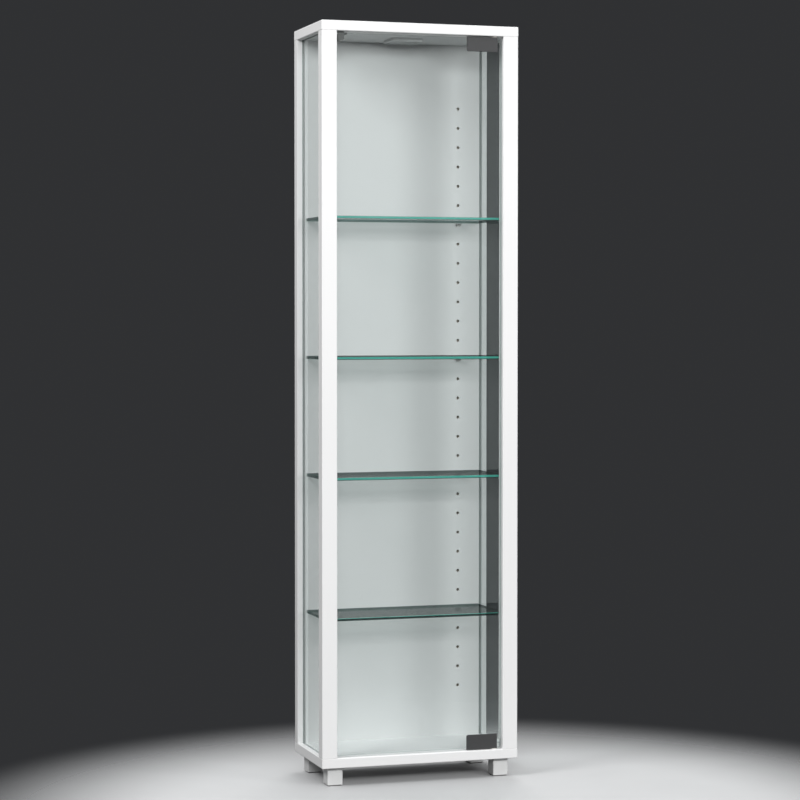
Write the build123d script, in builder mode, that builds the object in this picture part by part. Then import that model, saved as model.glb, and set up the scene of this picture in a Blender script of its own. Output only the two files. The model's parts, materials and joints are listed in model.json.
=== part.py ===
"""Free-standing glass display case: white faced boards, glass sides, glass shelves and an inset glass door.

Millimetres. The origin is the middle of the footprint, at floor level: +Z is up, the door faces -Y,
and +X is the side that carries the door's hinges.
"""
import os

from build123d import *

# ---------------------------------------------------------------- overall sizes
case_width = 328.0
case_depth = 165.0
case_height = 1210.0
board = 16.0                    # thickness of the top, bottom and rear boards
board_edge_radius = 1.5         # rounded edge band
foot_height = 30.0
foot_side = 25.0
foot_inset = 12.0               # from the edges of the bottom panel
foot_edge_radius = 1.2
foot_pad = 1.5                  # felt under each foot
glass_arris = 0.4               # dulled edge of the panes

right = case_width / 2
rear = case_depth / 2
front = -rear
floor_top = foot_height + board             # upper face of the bottom panel
ceiling = case_height - board               # lower face of the top panel
inner_height = ceiling - floor_top
mid_height = (ceiling + floor_top) / 2
back_wall = rear - board                    # front face of the rear board

# ---------------------------------------------------------------- posts, side glass and its grooves
post_width = 25.0
post_depth = 20.5
post_rear = front + post_depth
post_x = right - post_width / 2
post_edge_radius = 1.0
side_glass = 4.0
side_glass_inset = 9.3                      # from the outer side of the case
groove_depth = 5.0
groove_width = side_glass + 0.6
glass_play = 0.4                            # left free at the bottom of each groove
side_glass_x = right - side_glass_inset - side_glass / 2
side_glass_lines = (-side_glass_x, side_glass_x)
groove_front = post_rear - groove_depth
groove_rear = back_wall + groove_depth

# ---------------------------------------------------------------- shelf holes, pins and shelves
hole_pitch = 32.0
hole_count = 31
hole_radius = 2.5
hole_depth = 9.0
hole_start = floor_top + 83.5               # lowest row
rear_hole_x = 113.0
post_hole_x = right - 19.0
shelf_rows = (24, 17, 11, 4)                # hole row of each shelf, from the top one down
shelf_thickness = 5.0
shelf_width = 298.0
shelf_front = front + 24.5
shelf_rear = back_wall - 1.0
pin_shank = 8.0
pin_collar_radius = 4.0
pin_collar = 1.0
spoon_length = 10.0
spoon_width = 8.0
spoon_seat = 1.7                            # flat of the spoon, above the pin's axis
spoon_thickness = 3.2
pad_thickness = hole_radius - spoon_seat
pad_inset = 0.5
shelf_corner = 2.0

# ---------------------------------------------------------------- door and its clamp hinges
door_glass_thickness = 4.0
door_front = front + 6.5
door_left = -right + 26.5
door_right = right - 26.5
door_gap = 3.0                              # under and over the glass
door_corner = 1.5
door_y = door_front + door_glass_thickness / 2
door_rear = door_front + door_glass_thickness
hinge_x = right - 38.5
clamp_left = hinge_x - 47.0
clamp_right = hinge_x + 5.0
clamp_wall = 1.8
clamp_web = 1.6
clamp_height = 23.6
clamp_inner_height = 20.0
clamp_corner = 3.0
cheek_margin = 4.0                          # the inner cheek stops short of the front plate's free end
clamp_edge_radius = 0.5
clamp_pad = 0.8
pad_margin = 1.0                            # pads stop short of the clamp's edges
clamp_gap = 2.2                             # between the glass and the inner cheek
pin_radius = 2.5
pin_reach = 11.0                            # from the glass edge to the end of the pin
bush_radius = 4.0
bush_bore = pin_radius + 0.05
pin_end_play = 0.5
bush_depth = 10.0
bush_flange_radius = 5.0
bush_flange = 1.3
set_screw_radius = 2.5
set_screw_length = 4.6
set_screw_x = (clamp_left + 11.0, clamp_left + 35.0)
set_screw_drop = 11.0                       # from the glass edge
hex_radius = 1.4
hex_depth = 2.2

# ---------------------------------------------------------------- push latch
strike_side = 10.0
strike_thickness = 1.0
strike_corner = 1.5
strike_drop = 2.0                           # its middle, under the plunger's axis
latch_x = -right + 35.0
latch_width = 12.0
latch_height = 12.0
latch_front = front + 16.0
latch_length = 42.0
latch_axis_z = ceiling - 6.5
latch_bore = 4.08
latch_bore_depth = 38.0
latch_end = latch_front + latch_length
latch_edge_radius = 1.5
latch_ear = 9.0
latch_ear_width = 12.0
latch_ear_thickness = 2.0
latch_side_ear_y = latch_front + 20.0
latch_screw_places = [(latch_x, latch_end + 5.0), (latch_x + latch_width / 2 + 4.5, latch_side_ear_y)]
plunger_radius = 4.0
plunger_tip = door_rear + strike_thickness + 0.3
plunger_length = 26.0
plunger_chamfer = 0.5
magnet_radius = 3.0
magnet_thickness = 2.0
spring_wire = 0.35                          # radius of the wire
spring_radius = 3.2
spring_turns = 7

# ---------------------------------------------------------------- lamp
lamp_y = 12.5
lamp_width = 54.0
lamp_depth = 50.0
lamp_height = 5.0
lamp_corner = 6.0
lamp_wall = 1.5
lamp_lead_y = lamp_y + 17.0
lamp_lead_radius = 3.0
lamp_screw_x = 20.5
lens_thickness = 1.5
lens_inset = 0.3
led_board_side = 30.0
led_board_thickness = 1.2
led_board_y = lamp_y - 3.0
led_pitch = 9.0
grommet_radius = 4.0
grommet_bore = 2.5

# ---------------------------------------------------------------- fasteners
screw_radius = 2.5
screw_length = 40.0
screw_head_radius = 4.5
screw_head = 3.0
pilot_depth = screw_length - board + 5.0    # in the end of a post or of the rear board
small_screw_radius = 1.25                   # lamp and latch
small_pilot_depth = 9.0
small_screw_length = 9.5
small_screw_head_radius = 2.2
small_screw_head = 1.3
cap_radius = 6.0
cap_thickness = 2.0
dowel_radius = 4.0
dowel_in_board = 10.0
dowel_in_post = 20.0
dowel_play = 0.5
dowel_chamfer = 0.8
fixing_y = front + 9.5                      # dowel and screw line of the posts
dowel_x = right - 18.5
post_screw_x = right - 7.0
rear_screw_x = 120.0
rear_screw_y = rear - board / 2

foot_x = right - foot_inset - foot_side / 2
foot_y = rear - foot_inset - foot_side / 2
foot_screw_radius = 2.0
foot_screw_seat = 14.0                      # height of the screw head's seat over the floor
foot_screw_length = 26.0
foot_screw_head = 2.6
foot_recess_radius = 5.0
fit_play = 0.1

hanging = (Align.CENTER, Align.CENTER, Align.MAX)     # top face at the given place


def mirrored(x, y):
    """The two places at +x and -x."""
    return [(x, y), (-x, y)]


rear_screw_places = mirrored(rear_screw_x, rear_screw_y) + [(0, rear_screw_y)]
screw_places = mirrored(post_screw_x, fixing_y) + rear_screw_places
dowel_places = mirrored(dowel_x, fixing_y)
foot_places = mirrored(foot_x, foot_y) + mirrored(foot_x, -foot_y)


def save(part, name):
    part.label = name
    export_step(part, f"parts/{name}.step")


def both(z_low, z_high, places):
    """Places at two heights, for Locations."""
    return [(x, y, z) for z in (z_low, z_high) for x, y in places]


def hole_rows(rows):
    """Heights of the given rows of shelf holes."""
    return [hole_start + hole_pitch * row for row in rows]


# ---------------------------------------------------------------- carcass
def make_end_panel(name, base, inner_side):
    """A top or bottom panel that starts at height base. inner_side is +1 if its upper face looks inside."""
    inner = base + board if inner_side > 0 else base
    outer = base + board - (inner - base)
    groove_z = inner - inner_side * groove_depth / 2
    screw_turn = (0, 0, 0) if inner_side < 0 else (180, 0, 0)
    with BuildPart() as panel:
        with Locations((0, 0, base)):
            Box(case_width, case_depth, board, align=(Align.CENTER, Align.CENTER, Align.MIN))
        fillet(panel.edges().filter_by(Axis.Z, reverse=True), board_edge_radius)
        with Locations(*[(x, (groove_front + groove_rear) / 2, groove_z) for x in side_glass_lines]):
            Box(groove_width, groove_rear - groove_front, groove_depth, mode=Mode.SUBTRACT)
        with Locations(*[Location((x, y, outer), screw_turn) for x, y in screw_places]):
            Cylinder(screw_radius, 2 * board, mode=Mode.SUBTRACT)
            Cylinder(screw_head_radius, 2 * (cap_thickness + screw_head), mode=Mode.SUBTRACT)
            Cylinder(cap_radius, 2 * cap_thickness, mode=Mode.SUBTRACT)
        with Locations(*[(x, y, inner) for x, y in dowel_places]):
            Cylinder(dowel_radius, 2 * (dowel_in_board + dowel_play), mode=Mode.SUBTRACT)
        with Locations((hinge_x, door_y, inner)):
            Cylinder(bush_radius, 2 * bush_depth, mode=Mode.SUBTRACT)
        if inner_side < 0:
            with Locations((0, lamp_lead_y, base)):
                Cylinder(grommet_radius, 3 * board, mode=Mode.SUBTRACT)
            with Locations(*[(x, y, base) for x, y in mirrored(lamp_screw_x, lamp_y) + latch_screw_places]):
                Cylinder(small_screw_radius, 2 * small_pilot_depth, mode=Mode.SUBTRACT)
        else:
            with Locations(*[(x, y, base) for x, y in foot_places]):
                Cylinder(foot_screw_radius, 2 * (foot_screw_seat + foot_screw_length - foot_height),
                         mode=Mode.SUBTRACT)
    save(panel.part, name)


def make_post(name, side):
    """A front post. side is +1 for the hinge side and -1 for the opening side."""
    with BuildPart() as post:
        with Locations((side * post_x, front + post_depth / 2, mid_height)):
            Box(post_width, post_depth, inner_height)
        fillet(post.edges().filter_by(Axis.Z), post_edge_radius)
        with Locations((side * side_glass_x, post_rear - groove_depth / 2, mid_height)):
            Box(groove_width, groove_depth, inner_height, mode=Mode.SUBTRACT)
        with Locations(*both(floor_top, ceiling, [(side * dowel_x, fixing_y)])):
            Cylinder(dowel_radius, 2 * (dowel_in_post + dowel_play), mode=Mode.SUBTRACT)
        with Locations(*both(floor_top, ceiling, [(side * post_screw_x, fixing_y)])):
            Cylinder(screw_radius, 2 * pilot_depth, mode=Mode.SUBTRACT)
        with Locations(*[(side * post_hole_x, post_rear, z) for z in hole_rows(range(hole_count))]):
            Cylinder(hole_radius, 2 * hole_depth, rotation=(90, 0, 0), mode=Mode.SUBTRACT)
    save(post.part, name)


def make_rear_board():
    with BuildPart() as back:
        with Locations((0, rear - board / 2, mid_height)):
            Box(case_width, board, inner_height)
        fillet(back.edges().filter_by(Axis.Z), post_edge_radius)
        with Locations(*[(x, back_wall + groove_depth / 2, mid_height) for x in side_glass_lines]):
            Box(groove_width, groove_depth, inner_height, mode=Mode.SUBTRACT)
        with Locations(*[(x, back_wall, z) for x in (-rear_hole_x, rear_hole_x)
                         for z in hole_rows(range(hole_count))]):
            Cylinder(hole_radius, 2 * hole_depth, rotation=(90, 0, 0), mode=Mode.SUBTRACT)
        with Locations(*both(floor_top, ceiling, rear_screw_places)):
            Cylinder(screw_radius, 2 * pilot_depth, mode=Mode.SUBTRACT)
    save(back.part, "rear_board")


def make_side_glass(name, side):
    depth = groove_rear - groove_front - 2 * glass_play
    height = inner_height + 2 * (groove_depth - glass_play)
    with BuildPart() as pane:
        with Locations((side * side_glass_x, (groove_front + groove_rear) / 2, mid_height)):
            Box(side_glass, depth, height)
        chamfer(pane.edges(), glass_arris)
    save(pane.part, name)


def make_dowels():
    length = dowel_in_board + dowel_in_post
    low = floor_top + (dowel_in_post - dowel_in_board) / 2
    high = ceiling - (dowel_in_post - dowel_in_board) / 2
    with BuildPart() as dowels:
        with Locations(*both(low, high, dowel_places)):
            Cylinder(dowel_radius, length)
        chamfer(dowels.edges().filter_by(GeomType.CIRCLE), dowel_chamfer)
    save(dowels.part, "post_dowels")


def cross_screw(radius, length, head_radius, head_height):
    """A countersunk screw along -Z, the top of its head at z = 0, with a cross recess."""
    point = 1.2 * radius
    with BuildPart() as screw:
        with BuildSketch(Plane.XZ):
            with BuildLine():
                Polyline((0, 0), (head_radius, 0), (head_radius, -head_height / 3), (radius, -head_height),
                         (radius, point - length), (radius / 6, -length), (0, -length), close=True)
            make_face()
        revolve(axis=Axis.Z)
        with BuildSketch(Plane.XY):
            Rectangle(head_radius, head_radius / 4)
            Rectangle(head_radius / 4, head_radius)
        extrude(amount=-head_height * 0.6, mode=Mode.SUBTRACT)
    return screw.part


def make_panel_screws():
    screw = cross_screw(screw_radius, screw_length, screw_head_radius - fit_play, screw_head)
    seats = [Location((x, y, case_height - cap_thickness)) for x, y in screw_places]
    seats += [Location((x, y, foot_height + cap_thickness), (180, 0, 0)) for x, y in screw_places]
    with BuildPart() as screws:
        with Locations(*seats):
            add(screw)
    save(screws.part, "panel_screws")


def make_screw_caps():
    """Flush plugs over the screw heads of the top panel."""
    with BuildPart() as caps:
        with Locations(*[(x, y, case_height - cap_thickness / 2) for x, y in screw_places]):
            Cylinder(cap_radius - fit_play, cap_thickness)
        chamfer(caps.faces().filter_by(Axis.Z).edges(), cap_thickness / 7)
    save(caps.part, "screw_caps")


# ---------------------------------------------------------------- feet
def make_foot(name, x, y):
    with BuildPart() as foot:
        with Locations((x, y, foot_pad)):
            Box(foot_side, foot_side, foot_height - foot_pad, align=(Align.CENTER, Align.CENTER, Align.MIN))
        fillet(foot.edges().filter_by(Axis.Z), foot_edge_radius)
        fillet(foot.faces().sort_by(Axis.Z)[0].outer_wire().edges(), foot_edge_radius / 2)
        with Locations((x, y, 0)):
            Cylinder(foot_screw_radius, 2 * foot_height + 2, mode=Mode.SUBTRACT)
            Cylinder(foot_recess_radius, 2 * foot_screw_seat, mode=Mode.SUBTRACT)
    save(foot.part, name)


def make_feet():
    for end, y in (("front", -foot_y), ("rear", foot_y)):
        for hand, x in (("left", -foot_x), ("right", foot_x)):
            make_foot(f"foot_{end}_{hand}", x, y)


def make_foot_pads():
    with BuildPart() as pads:
        with BuildSketch():
            with Locations(*foot_places):
                RectangleRounded(foot_side - 3, foot_side - 3, 3)
                Circle(foot_recess_radius, mode=Mode.SUBTRACT)
        extrude(amount=foot_pad)
    save(pads.part, "foot_pads")


def make_foot_screws():
    screw = cross_screw(foot_screw_radius, foot_screw_length, 2.1 * foot_screw_radius, foot_screw_head)
    seats = [Location((x, y, foot_screw_seat - foot_screw_head), (180, 0, 0)) for x, y in foot_places]
    with BuildPart() as screws:
        with Locations(*seats):
            add(screw)
    save(screws.part, "foot_screws")


# ---------------------------------------------------------------- shelves
def shelf_pin():
    """A spoon pin on the Y axis: shank towards +Y from the wall at y = 0, spoon towards -Y."""
    with BuildPart() as pin:
        with BuildSketch(Plane.XZ):
            Circle(hole_radius)
        extrude(amount=-pin_shank)
        with BuildSketch(Plane.XZ):
            Circle(pin_collar_radius)
        extrude(amount=pin_collar)
        with BuildSketch(Plane.XY.offset(spoon_seat)):
            with Locations((0, -pin_collar)):
                Rectangle(spoon_width, spoon_length - spoon_width / 2, align=(Align.CENTER, Align.MAX))
            with Locations((0, spoon_width / 2 - pin_collar - spoon_length)):
                Circle(spoon_width / 2)
        extrude(amount=-spoon_thickness)
        with BuildSketch(Plane.XY.offset(spoon_seat)):
            Rectangle(2 * pin_collar_radius, pin_collar, align=(Align.CENTER, Align.MAX))
        extrude(amount=pin_collar_radius, mode=Mode.SUBTRACT)
    return pin.part


def shelf_pad():
    """The clear pad that lies on a pin's spoon, in the same place as the pin."""
    with BuildPart() as pad:
        with BuildSketch(Plane.XY.offset(spoon_seat)):
            with Locations((0, -pin_collar - pad_inset)):
                Rectangle(spoon_width - 2 * pad_inset, spoon_length - spoon_width / 2 - pad_inset,
                          align=(Align.CENTER, Align.MAX))
            with Locations((0, spoon_width / 2 - pin_collar - spoon_length)):
                Circle(spoon_width / 2 - pad_inset)
        extrude(amount=pad_thickness)
    return pad.part


def make_shelf(number, row):
    z = hole_start + hole_pitch * row
    with BuildPart() as shelf:
        with Locations((0, (shelf_front + shelf_rear) / 2, z + hole_radius)):
            Box(shelf_width, shelf_rear - shelf_front, shelf_thickness,
                align=(Align.CENTER, Align.CENTER, Align.MIN))
        fillet(shelf.edges().filter_by(Axis.Z), shelf_corner)
        chamfer(shelf.faces().filter_by(Axis.Z).edges(), glass_arris)
    save(shelf.part, f"glass_shelf_{number}")

    places = [Location((x, back_wall, z)) for x in (-rear_hole_x, rear_hole_x)]
    places += [Location((x, post_rear, z), (0, 0, 180)) for x in (-post_hole_x, post_hole_x)]
    for name, piece in (("shelf_pins", shelf_pin()), ("shelf_pads", shelf_pad())):
        with BuildPart() as group:
            with Locations(*places):
                add(piece)
        save(group.part, f"{name}_{number}")


# ---------------------------------------------------------------- door
def make_door_glass():
    with BuildPart() as pane:
        with Locations(((door_left + door_right) / 2, door_y, mid_height)):
            Box(door_right - door_left, door_glass_thickness, inner_height - 2 * door_gap)
        fillet(pane.edges().filter_by(Axis.Y), door_corner)
        chamfer(pane.faces().filter_by(Axis.Y).edges(), glass_arris)
    save(pane.part, "door_glass")


def clamp_plane(y):
    """An upright drawing plane at depth y, with x to the right and z up."""
    return Plane(origin=(0, y, 0), x_dir=(1, 0, 0), z_dir=(0, -1, 0))


def make_hinge(end, edge_z, up):
    """The clamp, pads, pin and bush at the glass edge at edge_z. up is +1 at the top, -1 at the bottom."""
    outer_y = door_front - clamp_pad - clamp_wall
    cheek_y = door_rear + clamp_gap
    total = cheek_y + clamp_wall - outer_y
    middle_x = (clamp_left + clamp_right) / 2
    web_z = edge_z + up * clamp_web
    width = clamp_right - clamp_left
    cheek_width = width - cheek_margin
    cheek_x = clamp_right - cheek_width / 2
    inward = Align.MAX if up > 0 else Align.MIN

    with BuildPart() as clamp:
        with BuildSketch(clamp_plane(outer_y + clamp_wall)):
            with Locations((middle_x, web_z)):
                Rectangle(width, clamp_height, align=(Align.CENTER, inward))
        extrude(amount=clamp_wall)
        inboard = clamp.edges().filter_by(Axis.Y).group_by(Axis.Z)[0 if up > 0 else -1].sort_by(Axis.X)
        fillet(inboard[0], clamp_corner)
        with Locations((cheek_x, (outer_y + cheek_y + clamp_wall) / 2, edge_z + up * clamp_web / 2)):
            Box(cheek_width, total, clamp_web)
        with Locations((cheek_x, cheek_y + clamp_wall / 2, web_z)):
            Box(cheek_width, clamp_wall, clamp_inner_height, align=(Align.CENTER, Align.CENTER, inward))
        fillet(clamp.faces().sort_by(Axis.Y)[0].edges(), clamp_edge_radius)
        with Locations((hinge_x, door_y, edge_z)):
            Cylinder(pin_radius, 4 * clamp_web, mode=Mode.SUBTRACT)
        with Locations(*[(x, cheek_y, edge_z - up * set_screw_drop) for x in set_screw_x]):
            Cylinder(set_screw_radius, 4 * clamp_wall, rotation=(90, 0, 0), mode=Mode.SUBTRACT)
    save(clamp.part, f"hinge_clamp_{end}")

    with BuildPart() as pads:
        for y in (door_front, door_rear + clamp_pad):
            with BuildSketch(clamp_plane(y)):
                with Locations((cheek_x, edge_z - up * pad_margin)):
                    Rectangle(cheek_width - 2 * pad_margin, clamp_inner_height - clamp_web - 2 * pad_margin,
                              align=(Align.CENTER, inward))
            extrude(amount=clamp_pad)
    save(pads.part, f"hinge_pads_{end}")

    with BuildPart() as pin:
        with Locations((hinge_x, door_y, edge_z + up * pin_reach / 2)):
            Cylinder(pin_radius, pin_reach)
        chamfer(pin.edges().sort_by(Axis.Z)[-1 if up > 0 else 0], pin_radius / 4)
    save(pin.part, f"hinge_pin_{end}")

    panel_z = edge_z + up * door_gap
    with BuildPart() as bush:
        with Locations((hinge_x, door_y, panel_z + up * bush_depth / 2)):
            Cylinder(bush_radius, bush_depth)
        with Locations((hinge_x, door_y, panel_z - up * bush_flange / 2)):
            Cylinder(bush_flange_radius, bush_flange)
        with Locations((hinge_x, door_y, panel_z - up * bush_flange)):
            Cylinder(bush_bore, 2 * (pin_reach - door_gap + bush_flange + pin_end_play), mode=Mode.SUBTRACT)
    save(bush.part, f"hinge_bush_{end}")


def make_set_screws():
    """Grub screws that press the inner pads on the glass, each with a hexagon socket."""
    start = door_rear + clamp_pad
    glass_ends = ((ceiling - door_gap, 1), (floor_top + door_gap, -1))
    with BuildPart() as screws:
        for edge_z, up in glass_ends:
            z = edge_z - up * set_screw_drop
            with BuildSketch(clamp_plane(start)):
                with Locations(*[(x, z) for x in set_screw_x]):
                    Circle(set_screw_radius)
            extrude(amount=-set_screw_length)
            with BuildSketch(clamp_plane(start + set_screw_length)):
                with Locations(*[(x, z) for x in set_screw_x]):
                    RegularPolygon(hex_radius, 6)
            extrude(amount=hex_depth, mode=Mode.SUBTRACT)
    save(screws.part, "hinge_set_screws")


def make_strike():
    with BuildPart() as strike:
        with Locations((latch_x, door_rear + strike_thickness / 2, latch_axis_z - strike_drop)):
            Box(strike_side, strike_thickness, strike_side)
        fillet(strike.edges().filter_by(Axis.Y), strike_corner)
    save(strike.part, "strike_plate")


# ---------------------------------------------------------------- push latch
def make_latch():
    with BuildPart() as housing:
        with Locations((latch_x, latch_front + latch_length / 2, ceiling)):
            Box(latch_width, latch_length, latch_height, align=hanging)
        fillet(housing.faces().sort_by(Axis.Z)[0].edges(), latch_edge_radius)
        with Locations((latch_x, latch_end + latch_ear / 2, ceiling)):
            Box(latch_ear_width, latch_ear, latch_ear_thickness, align=hanging)
        with Locations((latch_x + latch_width / 2 + latch_ear / 2, latch_side_ear_y, ceiling)):
            Box(latch_ear, latch_ear_width, latch_ear_thickness, align=hanging)
        with BuildSketch(clamp_plane(latch_front)):
            with Locations((latch_x, latch_axis_z)):
                Circle(latch_bore)
        extrude(amount=-latch_bore_depth, mode=Mode.SUBTRACT)
        with Locations(*[(x, y, ceiling) for x, y in latch_screw_places]):
            Cylinder(small_screw_radius, 3 * latch_ear_thickness, mode=Mode.SUBTRACT)
    save(housing.part, "latch_housing")

    with BuildPart() as plunger:
        with BuildSketch(clamp_plane(plunger_tip)):
            with Locations((latch_x, latch_axis_z)):
                Circle(plunger_radius)
        extrude(amount=-plunger_length)
        chamfer(plunger.edges().sort_by(Axis.Y)[0], plunger_chamfer)
        with BuildSketch(clamp_plane(plunger_tip)):
            with Locations((latch_x, latch_axis_z)):
                Circle(magnet_radius)
        extrude(amount=-magnet_thickness, mode=Mode.SUBTRACT)
    save(plunger.part, "latch_plunger")

    with BuildPart() as magnet:
        with BuildSketch(clamp_plane(plunger_tip)):
            with Locations((latch_x, latch_axis_z)):
                Circle(magnet_radius)
        extrude(amount=-magnet_thickness)
    save(magnet.part, "latch_magnet")

    screw = cross_screw(small_screw_radius, small_screw_length, small_screw_head_radius, small_screw_head)
    head_z = ceiling - latch_ear_thickness - small_screw_head
    seats = [Location((x, y, head_z), (180, 0, 0)) for x, y in latch_screw_places]
    with BuildPart() as screws:
        with Locations(*seats):
            add(screw)
    save(screws.part, "latch_screws")


def make_latch_spring():
    """The coil that pushes the plunger out, between its rear face and the end of the bore."""
    start = plunger_tip + plunger_length + spring_wire
    height = latch_front + latch_bore_depth - spring_wire - start
    with BuildPart() as spring:
        with BuildLine():
            coil = Helix(pitch=height / spring_turns, height=height, radius=spring_radius,
                         center=(latch_x, start, latch_axis_z), direction=(0, 1, 0))
        with BuildSketch(Plane(origin=coil @ 0, z_dir=coil % 0)):
            Circle(spring_wire)
        sweep()
    save(spring.part, "latch_spring")


# ---------------------------------------------------------------- lamp
def lamp_outline(inset):
    """The lamp's rounded outline, made smaller all round by inset."""
    with Locations((0, lamp_y)):
        RectangleRounded(lamp_width - 2 * inset, lamp_depth - 2 * inset, lamp_corner - inset)


def make_lamp():
    base = ceiling - lamp_height
    with BuildPart() as housing:
        with BuildSketch(Plane.XY.offset(base)):
            lamp_outline(0)
        extrude(amount=lamp_height)
        fillet(housing.faces().sort_by(Axis.Z)[0].edges(), lamp_wall / 2)
        with BuildSketch(Plane.XY.offset(base)):
            lamp_outline(2 * lamp_wall)
        extrude(amount=lamp_height - lamp_wall, mode=Mode.SUBTRACT)
        with BuildSketch(Plane.XY.offset(base)):
            lamp_outline(1.4 * lamp_wall)
        extrude(amount=lens_thickness + lens_inset, mode=Mode.SUBTRACT)
        with Locations((0, lamp_lead_y, ceiling)):
            Cylinder(lamp_lead_radius, 4 * lamp_wall, mode=Mode.SUBTRACT)
        with Locations(*[(x, y, ceiling) for x, y in mirrored(lamp_screw_x, lamp_y)]):
            Cylinder(small_screw_radius, 4 * lamp_wall, mode=Mode.SUBTRACT)
    save(housing.part, "lamp_housing")

    with BuildPart() as lens:
        with BuildSketch(Plane.XY.offset(base + lens_inset)):
            lamp_outline(1.5 * lamp_wall)
        extrude(amount=lens_thickness)
    save(lens.part, "lamp_diffuser")

    with BuildPart() as led_board:
        with BuildSketch(Plane.XY.offset(ceiling - lamp_wall)):
            with Locations((0, led_board_y)):
                Rectangle(led_board_side, led_board_side)
        extrude(amount=-led_board_thickness)
        with BuildSketch(Plane.XY.offset(ceiling - lamp_wall - led_board_thickness)):
            with Locations((0, led_board_y)):
                with GridLocations(led_pitch, led_pitch, 3, 3):
                    Rectangle(led_pitch / 3, led_pitch / 2.5)
        extrude(amount=-led_board_thickness / 4)
    save(led_board.part, "lamp_led_board")

    screw = cross_screw(small_screw_radius, small_screw_length, small_screw_head_radius, small_screw_head)
    head_z = ceiling - lamp_wall - small_screw_head
    with BuildPart() as screws:
        with Locations(*[Location((x, y, head_z), (180, 0, 0)) for x, y in mirrored(lamp_screw_x, lamp_y)]):
            add(screw)
    save(screws.part, "lamp_screws")

    with BuildPart() as grommet:
        with Locations((0, lamp_lead_y, ceiling + board / 2)):
            Cylinder(grommet_radius, board)
            Cylinder(grommet_bore, 2 * board, mode=Mode.SUBTRACT)
    save(grommet.part, "cable_grommet")


def main():
    os.makedirs("parts", exist_ok=True)
    make_end_panel("bottom_panel", foot_height, 1)
    make_end_panel("top_panel", ceiling, -1)
    make_rear_board()
    for hand, side in (("left", -1), ("right", 1)):
        make_post(f"front_post_{hand}", side)
        make_side_glass(f"side_glass_{hand}", side)
    make_dowels()
    make_panel_screws()
    make_screw_caps()
    make_feet()
    make_foot_pads()
    make_foot_screws()
    for number, row in enumerate(shelf_rows, start=1):
        make_shelf(number, row)
    make_door_glass()
    make_hinge("top", ceiling - door_gap, 1)
    make_hinge("bottom", floor_top + door_gap, -1)
    make_set_screws()
    make_strike()
    make_latch()
    make_latch_spring()
    make_lamp()


main()
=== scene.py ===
import json
import math

import bmesh
import bpy
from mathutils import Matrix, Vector


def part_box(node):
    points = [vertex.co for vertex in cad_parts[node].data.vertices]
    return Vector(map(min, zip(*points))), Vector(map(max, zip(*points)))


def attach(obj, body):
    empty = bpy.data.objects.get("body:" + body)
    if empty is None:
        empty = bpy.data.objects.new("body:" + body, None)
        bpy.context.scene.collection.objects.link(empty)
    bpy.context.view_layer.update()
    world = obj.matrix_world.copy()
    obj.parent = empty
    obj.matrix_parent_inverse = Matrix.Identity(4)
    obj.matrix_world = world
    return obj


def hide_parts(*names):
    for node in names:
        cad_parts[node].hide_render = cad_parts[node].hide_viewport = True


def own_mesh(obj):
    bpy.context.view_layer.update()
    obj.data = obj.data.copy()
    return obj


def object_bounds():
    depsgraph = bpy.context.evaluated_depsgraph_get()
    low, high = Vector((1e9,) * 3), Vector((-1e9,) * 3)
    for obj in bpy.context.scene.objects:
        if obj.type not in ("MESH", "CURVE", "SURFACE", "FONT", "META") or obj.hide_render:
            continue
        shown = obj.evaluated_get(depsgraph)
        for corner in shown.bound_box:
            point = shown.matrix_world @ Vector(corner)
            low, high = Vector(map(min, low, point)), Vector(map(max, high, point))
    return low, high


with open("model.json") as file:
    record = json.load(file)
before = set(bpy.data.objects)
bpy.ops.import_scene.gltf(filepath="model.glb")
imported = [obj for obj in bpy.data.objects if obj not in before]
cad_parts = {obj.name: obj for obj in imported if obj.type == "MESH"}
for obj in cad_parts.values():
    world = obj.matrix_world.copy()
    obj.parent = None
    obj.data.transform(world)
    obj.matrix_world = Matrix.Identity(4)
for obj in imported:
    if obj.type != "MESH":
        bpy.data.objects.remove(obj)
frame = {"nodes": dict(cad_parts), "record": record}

cad_low, cad_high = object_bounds()

# A narrow glass display case: white faced boards, glass sides, glass shelves, an inset glass door on two
# clamp hinges, a push latch and a small lamp. Metres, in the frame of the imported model.

MM = 0.001
SHELF_PITCH = 32 * MM
EDGE_BAND = 0.9 * MM            # thickness of the boards' white facing
GLUE_LINE = 1.1 * MM            # how far in from an edge its band's glue line lies
GROOVE_PLAY = 0.5 * MM
FACE_SLOPE = 0.6                # past this, a face of a pane looks along the axis and isn't a rim
PIN_HOLE_DEPTH = 8 * MM
SPRING_WIRE = 0.35 * MM         # radius of the wire
CLOSED_PITCH = 2.05 * SPRING_WIRE
PRISM_DEPTH = 0.55 * MM
NODES = frame["nodes"]
BODY_OF = {node: body for body, members in frame["record"]["behaviour"]["bodies"].items() for node in members}


# ---------------------------------------------------------------- node trees
def arithmetic(operation, swapped=False):
    """A method that adds one Math node."""
    def apply(self, other=0.0):
        first, second = (other, self) if swapped else (self, other)
        return self.graph.node("ShaderNodeMath", {"operation": operation}, {0: first, 1: second})
    return apply


class Value:
    """A socket of a node tree, which can be worked with as a number."""

    def __init__(self, graph, socket):
        self.graph = graph
        self.socket = socket

    __add__ = arithmetic("ADD")
    __radd__ = arithmetic("ADD", True)
    __sub__ = arithmetic("SUBTRACT")
    __rsub__ = arithmetic("SUBTRACT", True)
    __mul__ = arithmetic("MULTIPLY")
    __rmul__ = arithmetic("MULTIPLY", True)
    __truediv__ = arithmetic("DIVIDE")
    __rtruediv__ = arithmetic("DIVIDE", True)
    __pow__ = arithmetic("POWER")
    __gt__ = arithmetic("GREATER_THAN")
    __lt__ = arithmetic("LESS_THAN")
    __abs__ = arithmetic("ABSOLUTE")
    fraction = arithmetic("FRACT")
    root = arithmetic("SQRT")
    lesser = arithmetic("MINIMUM")
    greater = arithmetic("MAXIMUM")
    arctan2 = arithmetic("ARCTAN2")


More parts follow.
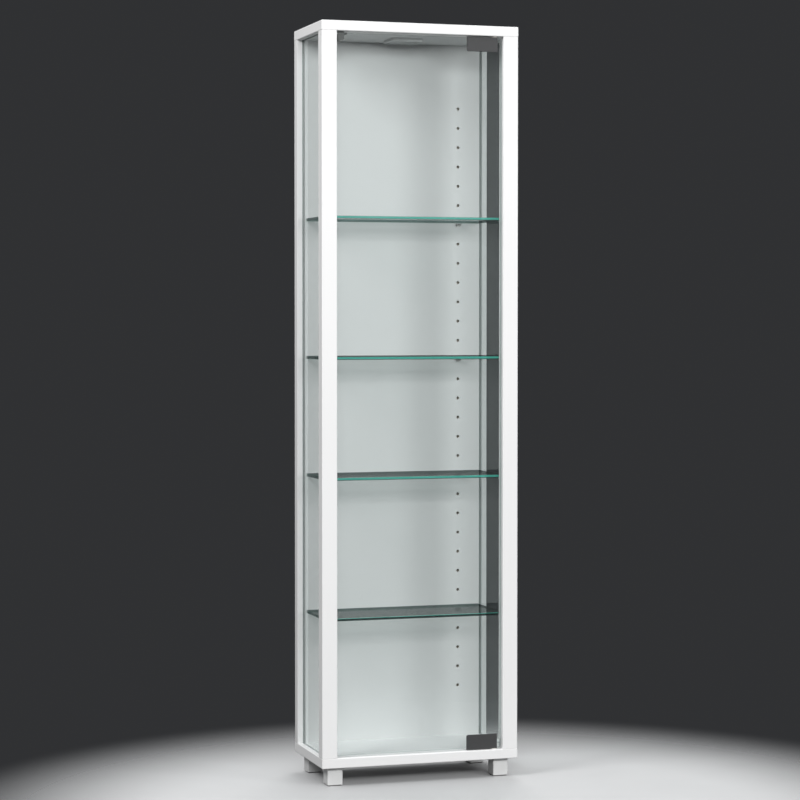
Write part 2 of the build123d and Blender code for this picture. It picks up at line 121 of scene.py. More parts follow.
class Graph:
    """A node tree, with one way to add a node to it."""

    def __init__(self, tree):
        self.tree = tree

    def node(self, kind, settings=None, values=None, output=0):
        made = self.tree.nodes.new(kind)
        for name, setting in (settings or {}).items():
            setattr(made, name, setting)
        for name, value in (values or {}).items():
            if isinstance(value, Value):
                self.tree.links.new(value.socket, made.inputs[name])
            else:
                made.inputs[name].default_value = value
        return Value(self, made.outputs[output] if made.outputs else None)

    def axes(self, vector):
        """The x, y and z of a vector."""
        split = self.node("ShaderNodeSeparateXYZ", values={0: vector})
        return [Value(self, socket) for socket in split.socket.node.outputs]

    def vector(self, x, y, z):
        return self.node("ShaderNodeCombineXYZ", values={0: x, 1: y, 2: z})

    def blend(self, share, first, second):
        """One colour at a share of 0, the other at 1. Colours are RGB triples or sockets."""
        first, second = (c if isinstance(c, Value) else (*c, 1) for c in (first, second))
        return self.node("ShaderNodeMix", {"data_type": "RGBA"}, {0: share, 6: first, 7: second}, 2)

    def step(self, value, start, end):
        """A smooth rise from 0 at start to 1 at end."""
        return self.node("ShaderNodeMapRange", {"interpolation_type": "SMOOTHSTEP"},
                         {"Value": value, "From Min": start, "From Max": end})


# ---------------------------------------------------------------- finishes
class Finish(Graph):
    """A material, with what the finishes share."""

    def __init__(self, name):
        self.material = bpy.data.materials.new(name)
        self.material.use_nodes = True
        super().__init__(self.material.node_tree)
        self.tree.nodes.clear()
        self.place = self.node("ShaderNodeTexCoord", output="Object")

    def stretched(self, x, y, z):
        """The place on the piece with its axes scaled, for a grain that runs one way."""
        return self.node("ShaderNodeVectorMath", {"operation": "MULTIPLY"}, {0: self.place, 1: (x, y, z)})

    def noise(self, size, detail=2.0, place=None):
        """Cloudy noise from 0 to 1, whose blobs are about size metres across."""
        return self.node("ShaderNodeTexNoise", values={
            "Vector": place or self.place, "Scale": 1 / size, "Detail": detail}, output="Fac")

    def cells(self, size, output="Distance"):
        """Cells about size metres across: the distance from their middles, or a colour for each."""
        return self.node("ShaderNodeTexVoronoi", values={
            "Vector": self.place, "Scale": 1 / size}, output=output)

    def bump(self, height, depth):
        """A normal from a height of 0 to 1, where 1 stands depth metres proud."""
        return self.node("ShaderNodeBump", values={"Height": height, "Distance": depth, "Strength": 1.0})

    def solid(self, **sockets):
        """A Principled shader. A keyword is a socket's name with _ for a space."""
        values = {name.replace("_", " "): value for name, value in sockets.items()}
        for name, value in values.items():
            if name in ("Base Color", "Emission Color") and not isinstance(value, Value):
                values[name] = (*value, 1)
        return self.node("ShaderNodeBsdfPrincipled", values=values)

    def mix(self, share, first, second):
        return self.node("ShaderNodeMixShader", values={0: share, 1: first, 2: second})

    def done(self, shader):
        self.node("ShaderNodeOutputMaterial", values={"Surface": shader})
        return self.material


def chipboard(finish):
    """The raw core of a faced board, as it shows in a drilled hole or a groove."""
    chips = finish.cells(1.6 * MM, "Color")
    tone = finish.noise(4 * MM, 3.0)
    return finish.blend(tone, (0.60, 0.55, 0.48), finish.blend(0.15, (0.82, 0.77, 0.69), chips))


def white_board(node):
    """Melamine faced board: a fine pebbled face, a hairline at the edge band, raw core in its holes and white
    painted grooves for the side glass."""
    low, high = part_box(node)
    finish = Finish(f"white_board_{node}")
    places = finish.axes(finish.place)
    depths = [(place - start).lesser(end - place) for place, start, end in zip(places, low, high)]
    depth = depths[0].lesser(depths[1]).lesser(depths[2])
    pane_low, pane_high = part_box("side_glass_right")
    pane_middle = (pane_low.x + pane_high.x) / 2
    half_groove = (pane_high.x - pane_low.x) / 2 + GROOVE_PLAY
    groove = abs(abs(places[0]) - pane_middle) < half_groove
    core = (depth > EDGE_BAND) * (1 - groove)
    pebbles = finish.noise(1.3 * MM, 1.5)
    fine = finish.noise(0.45 * MM, 2.0)
    cloud = finish.noise(0.12, 3.0)
    # painted shade: the rear board is the same white board as the rest, given a greyer face to stand for the
    # shade inside the case
    white = 0.82 if node == "rear_board" else 0.90
    face = finish.blend(cloud * 0.6 + fine * 0.4, (white - 0.025,) * 3, (white + 0.015,) * 3)
    # the glue line of the edge band shows as a hairline beside each edge
    deepest = depths[0].greater(depths[1]).greater(depths[2])
    from_edge = depths[0] + depths[1] + depths[2] - depth - deepest
    hairline = (abs(from_edge - GLUE_LINE) < 0.09 * MM) * 0.22
    face = finish.blend(hairline, face, (0.55, 0.54, 0.52))
    rough = 0.36 + pebbles * 0.12 + core * 0.45
    height = pebbles * 0.75 + fine * 0.25
    return finish.done(finish.solid(
        Base_Color=finish.blend(core, face, chipboard(finish)), Roughness=rough,
        Normal=finish.bump(height, 0.035 * MM), Specular_IOR_Level=0.42))


def glass(name, across, clear, gloss_share, mirror, edge, front_edge=None, painted_shade_rear_edge=None):
    """A float glass pane. across is the axis through its thickness, clear is the colour that one face passes,
    gloss_share and mirror are the strength and colour of its gloss, and edge is the colour of its ground and
    polished edges, which on a shelf is near black as painted shade. A shelf's front edge has a bright colour
    of its own and its rear edge a darker one that is painted shade, with a painted dark reflection along the
    lower arris in front, which is widest on the lowest shelf, and its underside is less glossy than its top."""
    finish = Finish(name)
    # the door turns, so the way a face looks is taken in the pane's own axes
    facing = finish.node("ShaderNodeNewGeometry", output="True Normal")
    own_axes = {"vector_type": "NORMAL", "convert_from": "WORLD", "convert_to": "OBJECT"}
    normals = finish.axes(finish.node("ShaderNodeVectorTransform", own_axes, {0: facing}))
    front = 1 - finish.node("ShaderNodeNewGeometry", output="Backfacing")
    rearward = normals[1] * (front * 2 - 1)
    one_face = finish.node("ShaderNodeFresnel", values={"IOR": 1.52})
    shine = gloss_share * 2 * one_face / (1 + one_face) * front
    if front_edge:
        shine = shine * (1 - 0.5 * (normals[2] < -0.5))
    through = finish.node("ShaderNodeBsdfTransparent", values={"Color": (*clear, 1)})
    gloss = finish.node("ShaderNodeBsdfGlossy", values={"Color": (*mirror, 1), "Roughness": 0.02})
    pane = finish.mix(shine, through, gloss)
    streaks = finish.noise(1.5 * MM, 2.0, finish.stretched(0.3, 0.3, 1.0))
    tone = finish.blend(streaks, edge, tuple(0.7 * c for c in edge))
    if front_edge:
        low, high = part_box("glass_shelf_4")
        height = finish.axes(finish.place)[2]
        up = ((height - low.z) / SHELF_PITCH).fraction() * SHELF_PITCH
        # painted dark reflection along the lower arris of each shelf's front edge, wider on the lowest shelf
        dark_reflection_height = 0.9 * MM + 2.6 * MM * (height < high.z + SHELF_PITCH)
        painted_dark_reflection = finish.step(up - dark_reflection_height, 0.6 * MM, 0.0)
        bright = finish.blend(streaks, front_edge, tuple(0.86 * c for c in front_edge))
        # painted shade: the rear edge is the same glass as the front edge, given a darker grey
        tone = finish.blend(rearward > 0.5, tone, painted_shade_rear_edge)
        tone = finish.blend(rearward < -0.5, tone, finish.blend(painted_dark_reflection, bright, (0.006, 0.012, 0.011)))
    rim = finish.solid(
        Base_Color=tone, Roughness=0.16 + streaks * 0.12, Normal=finish.bump(streaks, 0.01 * MM))
    clear_rim = finish.node("ShaderNodeBsdfTransparent", values={"Color": (0.55, 0.72, 0.69, 1)})
    cloudy = 0.85 - 0.55 * (rearward > 0.5) if painted_shade_rear_edge else 0.85
    is_face = abs(normals[across]) > FACE_SLOPE
    return finish.done(finish.mix(is_face, finish.mix(cloudy, clear_rim, rim), pane))


def turned_metal(name, colour, rough):
    """Plated steel with fine tool marks and small stains in the plating."""
    finish = Finish(name)
    marks = finish.noise(0.5 * MM, 4.0, finish.stretched(1, 1, 6))
    stains = finish.noise(3.0 * MM, 2.0)
    tone = finish.blend(stains, colour, tuple(0.82 * c for c in colour))
    return finish.done(finish.solid(
        Base_Color=tone, Metallic=1.0, Roughness=rough + marks * 0.14 + stains * 0.08,
        Normal=finish.bump(marks, 0.006 * MM)))


def moulded(name, colour, rough, grain=0.6 * MM, depth=0.02 * MM, sheen=0.0, clear=0.0):
    """Injection moulded plastic with a spark-eroded grain and slow colour variation."""
    finish = Finish(name)
    texture = finish.cells(grain) * 0.6 + finish.noise(0.5 * grain, 2.0) * 0.4
    flow = finish.noise(14 * MM, 2.0)
    tone = finish.blend(flow, colour, tuple(0.9 * c for c in colour))
    body = finish.solid(
        Base_Color=tone, Roughness=rough + texture * 0.14, Coat_Weight=sheen, Coat_Roughness=0.25,
        Normal=finish.bump(texture, depth))
    if clear:
        see_through = finish.node("ShaderNodeBsdfTransparent", values={"Color": (0.96, 0.97, 0.97, 1)})
        body = finish.mix(clear, body, see_through)
    return finish.done(body)


def powder_coat():
    """Matt dark grey powder coat of the hinge clamps: a fine orange peel and a few paler specks."""
    finish = Finish("hinge_grey")
    peel = finish.noise(0.9 * MM, 2.0)
    fine = finish.cells(0.28 * MM)
    speck = finish.step(finish.noise(0.35 * MM, 1.0), 0.66, 0.74)
    tone = finish.blend(peel, (0.038, 0.039, 0.040), (0.058, 0.059, 0.061))
    return finish.done(finish.solid(
        Base_Color=finish.blend(speck * 0.5, tone, (0.2, 0.2, 0.205)), Roughness=0.5 + fine * 0.2,
        Specular_IOR_Level=0.4, Normal=finish.bump(peel * 0.7 + fine * 0.3, 0.03 * MM)))


def felt():
    finish = Finish("felt")
    fibres = finish.noise(0.35 * MM, 5.0, finish.stretched(1, 1, 3))
    fluff = finish.noise(2.2 * MM, 3.0)
    tone = finish.blend(fibres * 0.6 + fluff * 0.4, (0.05, 0.05, 0.048), (0.30, 0.29, 0.28))
    return finish.done(finish.solid(
        Base_Color=tone, Roughness=0.95, Sheen_Weight=0.3, Sheen_Roughness=0.5,
        Normal=finish.bump(fibres * 0.5 + fluff * 0.5, 0.25 * MM)))


def beech():
    """Beech dowel, with its grain along Z and short darker rays."""
    finish = Finish("beech")
    grain = finish.noise(0.7 * MM, 4.0, finish.stretched(1, 1, 0.08))
    rays = finish.step(finish.noise(0.5 * MM, 1.0, finish.stretched(1, 1, 0.25)), 0.62, 0.7)
    tone = finish.blend(grain, (0.42, 0.25, 0.13), (0.66, 0.46, 0.29))
    return finish.done(finish.solid(
        Base_Color=finish.blend(rays * 0.6, tone, (0.27, 0.14, 0.07)), Roughness=0.55 + grain * 0.2,
        Normal=finish.bump(grain, 0.05 * MM)))


def opal(name):
    """Opal lens of the lamp: pale and a little see-through."""
    finish = Finish(name)
    cloud = finish.noise(6 * MM, 2.0)
    body = finish.solid(
        Base_Color=finish.blend(cloud, (0.80, 0.82, 0.82), (0.88, 0.89, 0.89)), Roughness=0.22 + cloud * 0.1,
        Normal=finish.bump(finish.noise(0.5 * MM), 0.01 * MM))
    clear = finish.node("ShaderNodeBsdfTransparent", values={"Color": (0.95, 0.97, 0.97, 1)})
    return finish.done(finish.mix(0.25, body, clear))


def circuit_board():
    """White solder mask with copper tracks, and yellow phosphor on the packages below it."""
    low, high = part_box("lamp_led_board")
    finish = Finish("circuit_board")
    x, y, z = finish.axes(finish.place)
    track_pitch = 9 * MM
    package = z < low.z + 0.25 * MM
    across = abs((x / track_pitch + 0.5).fraction() - 0.5)
    track = (across < 0.06) * 0.35
    mask = finish.blend(finish.noise(5 * MM), (0.80, 0.80, 0.77), (0.86, 0.86, 0.84))
    mask = finish.blend(track, mask, (0.55, 0.60, 0.50))
    return finish.done(finish.solid(
        Base_Color=finish.blend(package, mask, (0.85, 0.72, 0.16)),
        Roughness=0.35 + finish.noise(0.6 * MM) * 0.2, Normal=finish.bump(track * 2.0, 0.03 * MM)))


FINISHES = {
    "side_glass": glass("side_glass", across=0, clear=(0.950, 0.965, 0.963), gloss_share=0.58,
                        mirror=(0.66, 0.69, 0.69), edge=(0.45, 0.50, 0.49)),
    "door_glass": glass("door_glass", across=1, clear=(0.940, 0.956, 0.954), gloss_share=1.0,
                        mirror=(0.80, 0.83, 0.83), edge=(0.46, 0.54, 0.53)),
    # on the shelves the near black colour of the ends and the grey of the rear edge are painted shade; the
    # bright front edge is the glass's own edge colour
    "shelf_glass": glass("shelf_glass", across=2, clear=(0.900, 0.918, 0.914), gloss_share=1.0,
                         mirror=(0.16, 0.17, 0.17), edge=(0.03, 0.05, 0.047),
                         front_edge=(0.09, 0.55, 0.45), painted_shade_rear_edge=(0.17, 0.20, 0.195)),
    "pin_steel": turned_metal("pin_steel", (0.66, 0.655, 0.64), 0.22),
    "clear_plastic": moulded("clear_plastic", (0.80, 0.84, 0.85), 0.18, depth=0.004 * MM, clear=0.55),
    "hinge_grey": powder_coat(),
    "black_rubber": moulded("black_rubber", (0.022, 0.022, 0.023), 0.62, 0.4 * MM, 0.03 * MM),
    "nylon": moulded("nylon", (0.74, 0.73, 0.68), 0.38, 0.8 * MM, 0.008 * MM, clear=0.06),
    "screw_steel": turned_metal("screw_steel", (0.62, 0.63, 0.65), 0.28),
    "nickel": turned_metal("nickel", (0.70, 0.68, 0.63), 0.14),
    "dull_zinc": turned_metal("dull_zinc", (0.16, 0.16, 0.158), 0.5),
    "latch_plastic": moulded("latch_plastic", (0.17, 0.175, 0.175), 0.45, 0.5 * MM, 0.02 * MM),
    "white_plastic": moulded("white_plastic", (0.84, 0.845, 0.84), 0.34, 0.7 * MM, 0.012 * MM, sheen=0.15),
    "felt": felt(),
    "beech": beech(),
    "lamp_shell": moulded("lamp_shell", (0.86, 0.87, 0.87), 0.30, 0.4 * MM, 0.006 * MM, sheen=0.3),
    "lamp_lens": opal("lamp_lens"),
    "circuit_board": circuit_board(),
}


def dress_frame():
    """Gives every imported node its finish, by the name of its material slot."""
    for node, piece in NODES.items():
        for slot in piece.material_slots:
            name = slot.material.name.split(".")[0]
            slot.material = white_board(node) if name == "white_board" else FINISHES[name]


# ---------------------------------------------------------------- grown pieces
class Recipe(Graph):
    """A Geometry Nodes tree with named inputs, which is grown on a mesh of seats."""

    KINDS = {float: "NodeSocketFloat", bpy.types.Material: "NodeSocketMaterial"}

    def __init__(self, name, **sizes):
        self.sizes = dict(sizes)
        self.inputs = {}
        tree = bpy.data.node_groups.new(name, "GeometryNodeTree")
        super().__init__(tree)
        tree.interface.new_socket("Seats", in_out="INPUT", socket_type="NodeSocketGeometry")
        for label, value in self.sizes.items():
            kind = next(k for t, k in self.KINDS.items() if isinstance(value, t))
            socket = tree.interface.new_socket(label, in_out="INPUT", socket_type=kind)
            self.inputs[label] = socket.identifier
        tree.interface.new_socket("Piece", in_out="OUTPUT", socket_type="NodeSocketGeometry")
        entry = tree.nodes.new("NodeGroupInput")
        self.seats, *values = [Value(self, socket) for socket in entry.outputs][:len(sizes) + 1]
        for label, value in zip(self.sizes, values):
            setattr(self, label, value)
        self.here = self.node("GeometryNodeInputPosition")

    def shaped(self, piece, x, y, z):
        """The piece with each point at a new place, given by fields."""
        return self.node("GeometryNodeSetPosition", values={
            "Geometry": piece, "Position": self.vector(x, y, z)})

    def moved(self, piece, offset=(0, 0, 0), turn=(0, 0, 0)):
        return self.node("GeometryNodeTransform", values={
            "Geometry": piece, "Translation": offset, "Rotation": turn})

    def joined(self, *pieces):
        made = self.tree.nodes.new("GeometryNodeJoinGeometry")
        for piece in pieces:
            self.tree.links.new(piece.socket, made.inputs[0])
        return Value(self, made.outputs[0])

    def carved(self, operation, first, *others):
        """Mesh Boolean. A union takes all the pieces together."""
        made = self.tree.nodes.new("GeometryNodeMeshBoolean")
        made.operation = operation
        made.solver = "EXACT"
        if operation == "DIFFERENCE":
            self.tree.links.new(first.socket, made.inputs["Mesh 1"])
        for piece in others if operation == "DIFFERENCE" else (first, *others):
            self.tree.links.new(piece.socket, made.inputs["Mesh 2"])
        return Value(self, made.outputs[0])

    def rod(self, radius, depth, around=24, rings=1):
        """A closed cylinder on Z, its middle at the origin."""
        return self.node("GeometryNodeMeshCylinder", values={
            "Vertices": around, "Side Segments": rings, "Fill Segments": 1, "Radius": radius, "Depth": depth})

    def placed(self, piece):
        """One copy of the piece at every seat, turned as the seat's turn attribute says."""
        turn = self.node("GeometryNodeInputNamedAttribute", {"data_type": "FLOAT_VECTOR"}, {"Name": "turn"})
        rotation = self.node("FunctionNodeEulerToRotation", values={0: turn})
        return self.node("GeometryNodeInstanceOnPoints", values={
            "Points": self.seats, "Instance": piece, "Rotation": rotation})

    def finished(self, piece):
        solid = self.node("GeometryNodeRealizeInstances", values={"Geometry": piece})
        coated = self.node("GeometryNodeSetMaterial", values={"Geometry": solid, "Material": self.Finish})
        self.node("NodeGroupOutput", values={"Piece": coated})
        return self

    def grow(self, name, seats, slot, stands_for, smooth=35):
        """Grows the recipe on seats, a list of (place, turn), as a plain piece on the body of the node that
        it stands for."""
        mesh = bpy.data.meshes.new(name)
        mesh.from_pydata([place for place, turn in seats], [], [])
        turns = mesh.attributes.new("turn", "FLOAT_VECTOR", "POINT")
        turns.data.foreach_set("vector", [angle for place, turn in seats for angle in turn])
        source = bpy.data.objects.new(name + "_seats", mesh)
        bpy.context.scene.collection.objects.link(source)
        modifier = source.modifiers.new("recipe", "NODES")
        modifier.node_group = self.tree
        for label, identifier in self.inputs.items():
            modifier[identifier] = self.sizes[label]
        grown = source.evaluated_get(bpy.context.evaluated_depsgraph_get())
        final = bpy.data.meshes.new_from_object(grown)
        final.name = name
        piece = bpy.data.objects.new(name, final)
        bpy.context.scene.collection.objects.link(piece)
        bpy.data.objects.remove(source)
        if "turn" in final.attributes:
            final.attributes.remove(final.attributes["turn"])
        final.set_sharp_from_angle(angle=math.radians(smooth))
        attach(piece, BODY_OF[stands_for])
        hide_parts(stands_for)
        return piece


def solids(node):
    """The (lowest, highest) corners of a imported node's separate solids, in a fixed order."""
    mesh = bmesh.new()
    mesh.from_mesh(NODES[node].data)
    bmesh.ops.remove_doubles(mesh, verts=mesh.verts, dist=0.001 * MM)
    left = set(mesh.verts)
    boxes = []
    while left:
        reach = [left.pop()]
        places = []
        while reach:
            vertex = reach.pop()
            places.append(vertex.co.copy())
            near = {edge.other_vert(vertex) for edge in vertex.link_edges} & left
            left -= near
            reach += near
        boxes.append((Vector(map(min, *places)), Vector(map(max, *places))))
    mesh.free()
    return sorted(boxes, key=lambda corners: [round(c, 5) for c in corners[0]])


# a screw's shank radius and head height, as shares of its head's radius
SHANK_SHARE = {"panel_screws": 0.568, "foot_screws": 0.476, "lamp_screws": 0.568, "latch_screws": 0.568}
HEAD_SHARE = {"panel_screws": 0.68, "foot_screws": 0.62, "lamp_screws": 0.59, "latch_screws": 0.59}


def cross_screw(node, pitch):
    """A countersunk wood screw with a cross recess and a sharp helical thread, on -Z from its head's top."""
    low, high = solids(node)[0]
    head_radius = (high.x - low.x) / 2
    length = high.z - low.z
    recipe = Recipe("cross_screw", Finish=FINISHES["screw_steel"], Head_Radius=head_radius,
                    Shank_Radius=SHANK_SHARE[node] * head_radius, Length=length,
                    Head_Height=HEAD_SHARE[node] * head_radius, Pitch=pitch)
    rings = round(8 * length / pitch)
    overlap = 0.02 * MM
    thread_length = recipe.Length - recipe.Head_Height
    x, y, z = recipe.axes(recipe.here)
    turn = y.arctan2(x) / math.tau
    ridge = 1 - abs((z / recipe.Pitch + turn).fraction() - 0.5) * 3.2
    up_from_tip = z + thread_length / 2
    plain = recipe.step(thread_length / 2 - z, 0.0, 3 * pitch)
    core = 0.68 + 0.3 * ridge.greater(0.0) * plain + 0.2 * (1 - plain)
    taper = (up_from_tip / (3.2 * recipe.Shank_Radius) + 0.05).lesser(1.0)
    shank = recipe.rod(recipe.Shank_Radius, thread_length, 20, rings)
    shank = recipe.shaped(shank, x * core * taper, y * core * taper, z)
    shank_middle = (thread_length + overlap) / -2 - recipe.Head_Height * 0.98
    shank = recipe.moved(shank, recipe.vector(0.0, 0.0, shank_middle))
    head = recipe.rod(recipe.Head_Radius, recipe.Head_Height, 40, 12)
    below_top = recipe.Head_Height / 2 - z
    cone = recipe.Head_Radius - (below_top - recipe.Head_Height / 3).greater(0.0) * 1.5 * (
        recipe.Head_Radius - recipe.Shank_Radius) / recipe.Head_Height
    rim = recipe.Head_Radius - (recipe.Head_Height / 12 - below_top).greater(0.0)
    share = cone.lesser(rim) / recipe.Head_Radius
    head = recipe.shaped(head, x * share, y * share, z)
    head = recipe.moved(head, recipe.vector(0.0, 0.0, recipe.Head_Height / -2))
    wing = recipe.node("GeometryNodeMeshCube", values={"Size": recipe.vector(
        recipe.Head_Radius * 1.05, recipe.Head_Radius * 0.26, recipe.Head_Height * 1.3)})
    wing = recipe.shaped(
        wing, x * (1 + z * 0.5 / recipe.Head_Height), y * (1 + z * 0.4 / recipe.Head_Height), z)
    other_wing = recipe.moved(wing, turn=(0, 0, math.pi / 2))
    screw = recipe.carved("UNION", head, shank)
    screw = recipe.carved("DIFFERENCE", screw, wing, other_wing)
    recipe.finished(recipe.placed(screw))
    seats = []
    for low, high in solids(node):
        middle = (low + high) / 2
        if node == "panel_screws" and middle.z > (cad_low.z + cad_high.z) / 2:
            seats.append(((middle.x, middle.y, high.z), (0, 0, 0)))
        else:
            seats.append(((middle.x, middle.y, low.z), (math.pi, 0, 0)))
    return recipe.grow("threaded_" + node, seats, "screw_steel", node)


def spoon_pins(node):
    """Shelf pins: a ribbed shank in the board, a collar on its face and a dished spoon under the glass."""
    recipe = Recipe("spoon_pin", Finish=FINISHES["pin_steel"], Shank_Radius=2.5 * MM, Shank=PIN_HOLE_DEPTH,
                    Collar_Radius=4.0 * MM, Collar=1.0 * MM, Spoon_Length=10.0 * MM, Spoon_Width=8.0 * MM,
                    Spoon_Height=3.2 * MM, Seat=1.7 * MM)
    x, y, z = recipe.axes(recipe.here)
    rib = (y.arctan2(x) * (10 / math.tau)).fraction()
    ribs = 1 - 0.045 * (abs(rib - 0.5) > 0.28) * (z > -2.2 * MM)
    nose = 1 - 0.28 * recipe.step(z, 0.8 * MM, 4.0 * MM) ** 2
    shank = recipe.rod(recipe.Shank_Radius, recipe.Shank, 60, 14)
    shank = recipe.shaped(shank, x * ribs * nose, y * ribs * nose, z)
    shank = recipe.moved(shank, recipe.vector(0.0, recipe.Shank / 2 - 0.02 * MM, 0.0), (-math.pi / 2, 0, 0))

    collar = recipe.rod(recipe.Collar_Radius, recipe.Collar, 40, 6)
    edge = 1 - 0.09 * recipe.step(z, 0.1 * MM, 0.5 * MM)
    collar = recipe.shaped(collar, x * edge, y * edge, z)
    collar = recipe.moved(collar, recipe.vector(0.0, recipe.Collar / -2, 0.0), (math.pi / 2, 0, 0))
    collar = recipe.shaped(collar, x, y, z.lesser(recipe.Seat))

    spoon = recipe.rod(recipe.Spoon_Width / 2, recipe.Spoon_Height, 48, 12)
    down = (recipe.Spoon_Height / 2 - z) / recipe.Spoon_Height
    keel = 1 - 0.42 * down ** 2.2 - 0.05 * recipe.step(down, 0.12, 0.0)
    back = recipe.Spoon_Length - recipe.Spoon_Width / 2 - recipe.Collar / 2
    spoon = recipe.shaped(spoon, x * keel, y * keel + (y > 0) * back - back - recipe.Collar / 2, z)
    spoon = recipe.moved(spoon, recipe.vector(0.0, 0.0, recipe.Seat - recipe.Spoon_Height / 2))

    recipe.finished(recipe.placed(recipe.carved("UNION", spoon, collar, shank)))
    seats = []
    for low, high in solids(node):
        middle = (low + high) / 2
        in_rear_board = middle.y > 0
        wall = high.y - PIN_HOLE_DEPTH if in_rear_board else low.y + PIN_HOLE_DEPTH
        axis_z = low.z + recipe.sizes["Collar_Radius"]
        seats.append(((middle.x, wall, axis_z), (0, 0, 0 if in_rear_board else math.pi)))
    return recipe.grow(node.replace("shelf", "spoon"), seats, "pin_steel", node)


def coil_spring():
    """The latch's compression spring. Its end coils lie closed."""
    low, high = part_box("latch_spring")
    recipe = Recipe("coil_spring", Finish=FINISHES["screw_steel"], Wire=SPRING_WIRE, Turns=9.0,
                    Coil_Radius=(high.x - low.x) / 2 - SPRING_WIRE, Length=high.y - low.y - 2 * SPRING_WIRE)
    x, y, z = recipe.axes(recipe.here)
    coil = recipe.node("GeometryNodeCurveSpiral", values={
        "Resolution": 24, "Rotations": recipe.Turns, "Start Radius": recipe.Coil_Radius,
        "End Radius": recipe.Coil_Radius, "Height": recipe.Length})
    # one closed coil at each end, and an even pitch between them
    turned = z / recipe.Length * recipe.Turns
    closed = turned.lesser(1.0) + (turned - recipe.Turns + 1).greater(0.0)
    free = (turned - 1).greater(0.0).lesser(recipe.Turns - 2)
    rise = closed * CLOSED_PITCH + free * (recipe.Length - 2 * CLOSED_PITCH) / (recipe.Turns - 2)
    coil = recipe.shaped(coil, x, y, rise)
    wire = recipe.node("GeometryNodeCurvePrimitiveCircle", values={
        "Resolution": 12, "Radius": recipe.Wire})
    tube = recipe.node("GeometryNodeCurveToMesh", values={
        "Curve": coil, "Profile Curve": wire, "Fill Caps": True})
    recipe.finished(recipe.placed(tube))
    middle = (low + high) / 2
    seat = ((middle.x, low.y + SPRING_WIRE, middle.z), (-math.pi / 2, 0, 0))
    piece = recipe.grow("coil_spring", [seat], "screw_steel", "latch_spring")
    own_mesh(piece)


def prism_lens():
    """The lamp's lens: a rounded plate whose lower face is a field of small four-sided prisms."""
    low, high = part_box("lamp_diffuser")
    prism = 2.4 * MM
    cells = [round((high[axis] - low[axis]) / prism) * 2 for axis in (0, 1)]
    recipe = Recipe("prism_lens", Finish=FINISHES["lamp_lens"], Width=high.x - low.x, Length=high.y - low.y,
                    Thickness=high.z - low.z, Prism_Depth=PRISM_DEPTH, Corner=3.75 * MM)
    plate = recipe.node("GeometryNodeMeshGrid", values={
        "Size X": recipe.Width, "Size Y": recipe.Length,
        "Vertices X": cells[0] + 1, "Vertices Y": cells[1] + 1})
    plate = recipe.node("GeometryNodeTriangulate", {"quad_method": "FIXED"}, {"Mesh": plate})
    x, y, z = recipe.axes(recipe.here)
    column = (x / recipe.Width + 0.5) * (cells[0] / 2)
    row = (y / recipe.Length + 0.5) * (cells[1] / 2)
    peak = (abs(column.fraction() - 0.5) < 0.2) * (abs(row.fraction() - 0.5) < 0.2)
    block = recipe.node("GeometryNodeExtrudeMesh", {"mode": "FACES"}, {
        "Mesh": plate, "Offset Scale": recipe.Thickness - recipe.Prism_Depth, "Individual": False})
    block = recipe.joined(block, recipe.node("GeometryNodeFlipFaces", values={"Mesh": plate}))
    block = recipe.node("GeometryNodeMergeByDistance", values={"Geometry": block, "Distance": 0.005 * MM})
    under = z < 0.1 * MM
    block = recipe.shaped(block, x, y, z - under * peak * recipe.Prism_Depth)
    outside = []
    for place, size in ((x, recipe.Width), (y, recipe.Length)):
        outside.append((abs(place) - (size / 2 - recipe.Corner)).greater(0.0))
    reach = (outside[0] * outside[0] + outside[1] * outside[1]).root()
    pull = (recipe.Corner / reach.greater(recipe.Corner)).lesser(1.0)
    side_x = (x > 0) * 2 - 1
    side_y = (y > 0) * 2 - 1
    block = recipe.shaped(
        block, x - side_x * outside[0] * (1 - pull), y - side_y * outside[1] * (1 - pull), z)
    recipe.finished(recipe.placed(block))
    middle = (low + high) / 2
    seat = ((middle.x, middle.y, low.z + PRISM_DEPTH), (0, 0, 0))
    return recipe.grow("prism_lens", [seat], "lamp_lens", "lamp_diffuser", smooth=5)


# ---------------------------------------------------------------- stage
def make_floor():
    """A plain pale floor that fades into the backdrop."""
    mesh = bpy.data.meshes.new("floor")
    corners = 96
    radius = 3.0
    angles = [math.tau * i / corners for i in range(corners)]
    ring = [(radius * math.cos(angle), radius * math.sin(angle), 0) for angle in angles]
    mesh.from_pydata(ring, [], [list(range(corners))])
    floor = bpy.data.objects.new("floor", mesh)
    bpy.context.scene.collection.objects.link(floor)
    finish = Finish("pale_floor")
    x, y, z = finish.axes(finish.place)
    ahead = y + 0.3                     # the pale round lies a little in front of the case
    far = finish.step((x * x + ahead * ahead).root(), 0.42, 0.85)
    cloud = finish.noise(0.09, 3.0)
    seen = finish.node("ShaderNodeLightPath", output="Is Camera Ray")
    shade = finish.blend(cloud, (0.57, 0.575, 0.58), (0.61, 0.615, 0.62))
    pale = finish.solid(Base_Color=finish.blend(seen, (0.10, 0.102, 0.104), shade), Roughness=0.6)
    away = finish.node("ShaderNodeBsdfTransparent")
    mesh.materials.append(finish.done(finish.mix(far, pale, away)))


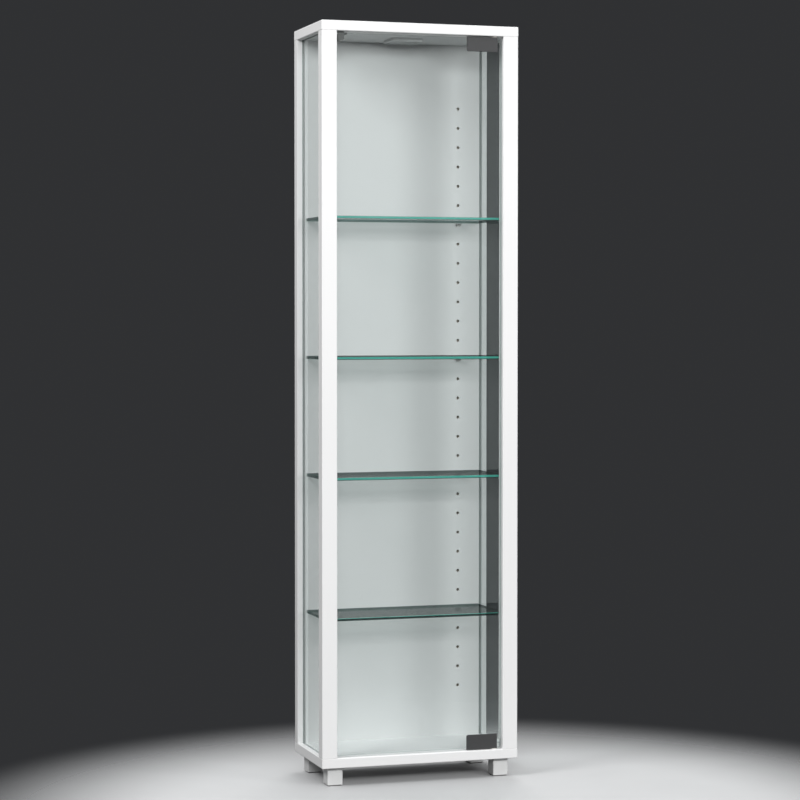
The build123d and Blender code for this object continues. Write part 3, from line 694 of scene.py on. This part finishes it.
def make_light():
    """A dim surround that is brightest overhead, a plain dark backdrop that the camera sees in its place, and
    four soft lights."""
    world = bpy.data.worlds.new("surround")
    world.use_nodes = True
    world.node_tree.nodes.clear()
    sky = Graph(world.node_tree)
    seen = sky.node("ShaderNodeLightPath", output="Is Camera Ray")
    height = sky.axes(sky.node("ShaderNodeTexCoord", output="Generated"))[2]
    overhead = 0.05 + 0.1 * sky.step(height, -0.05, 0.05) + 0.50 * sky.step(height, 0.0, 0.9)
    surround = sky.node("ShaderNodeBackground", values={"Color": (0.98, 0.99, 1.0, 1), "Strength": overhead})
    backdrop = sky.node("ShaderNodeBackground", values={
        "Color": (0.030, 0.031, 0.033, 1), "Strength": 1.0})
    mixed = sky.node("ShaderNodeMixShader", values={0: seen, 1: surround, 2: backdrop})
    sky.node("ShaderNodeOutputWorld", values={"Surface": mixed})
    bpy.context.scene.world = world
    soft_light("key", (-0.3, -3.3, 1.5), (2.2, 0.5), 52)
    soft_light("side", (-1.9, -0.8, 2.2), (0.9, 0.9), 34)
    soft_light("fill", (1.7, -2.4, 1.35), (0.9, 0.9), 26)
    soft_light("behind", (0.9, 2.2, 2.6), (1.4, 0.9), 26)


def soft_light(name, place, size, power):
    """A soft rectangular lamp aimed at the middle of the case."""
    lamp = bpy.data.lights.new(name, "AREA")
    lamp.shape = "RECTANGLE"
    lamp.size, lamp.size_y = size
    lamp.energy = power
    light = bpy.data.objects.new(name, lamp)
    light.location = place
    aim = Vector((0, 0, 0.75)) - light.location
    light.rotation_euler = aim.to_track_quat("-Z", "Y").to_euler()
    light.visible_camera = False
    bpy.context.scene.collection.objects.link(light)


def make_camera():
    """A long lens a little above the middle of the case, 17.6 degrees round to its left."""
    data = bpy.data.cameras.new("camera")
    data.sensor_width = 36.0
    data.lens = 107.81
    data.shift_y = -0.02
    camera = bpy.data.objects.new("camera", data)
    camera.location = (-1.185, -3.7081, 0.7435)
    camera.rotation_euler = (math.radians(90 - 1.59), 0, math.radians(-17.594))
    bpy.context.scene.collection.objects.link(camera)
    bpy.context.scene.camera = camera
    bpy.context.scene.view_settings.view_transform = "Standard"
    bpy.context.scene.cycles.transparent_max_bounces = 32
    bpy.context.scene.cycles.diffuse_bounces = 2


# ---------------------------------------------------------------- the whole
def main():
    make_camera()
    make_light()
    make_floor()
    dress_frame()
    pitches = {"panel_screws": 2.2, "foot_screws": 1.8, "lamp_screws": 1.1, "latch_screws": 1.1}
    for node, pitch in pitches.items():
        cross_screw(node, pitch * MM)
    for shelf in range(1, 5):
        spoon_pins(f"shelf_pins_{shelf}")
    prism_lens()
    coil_spring()


main()
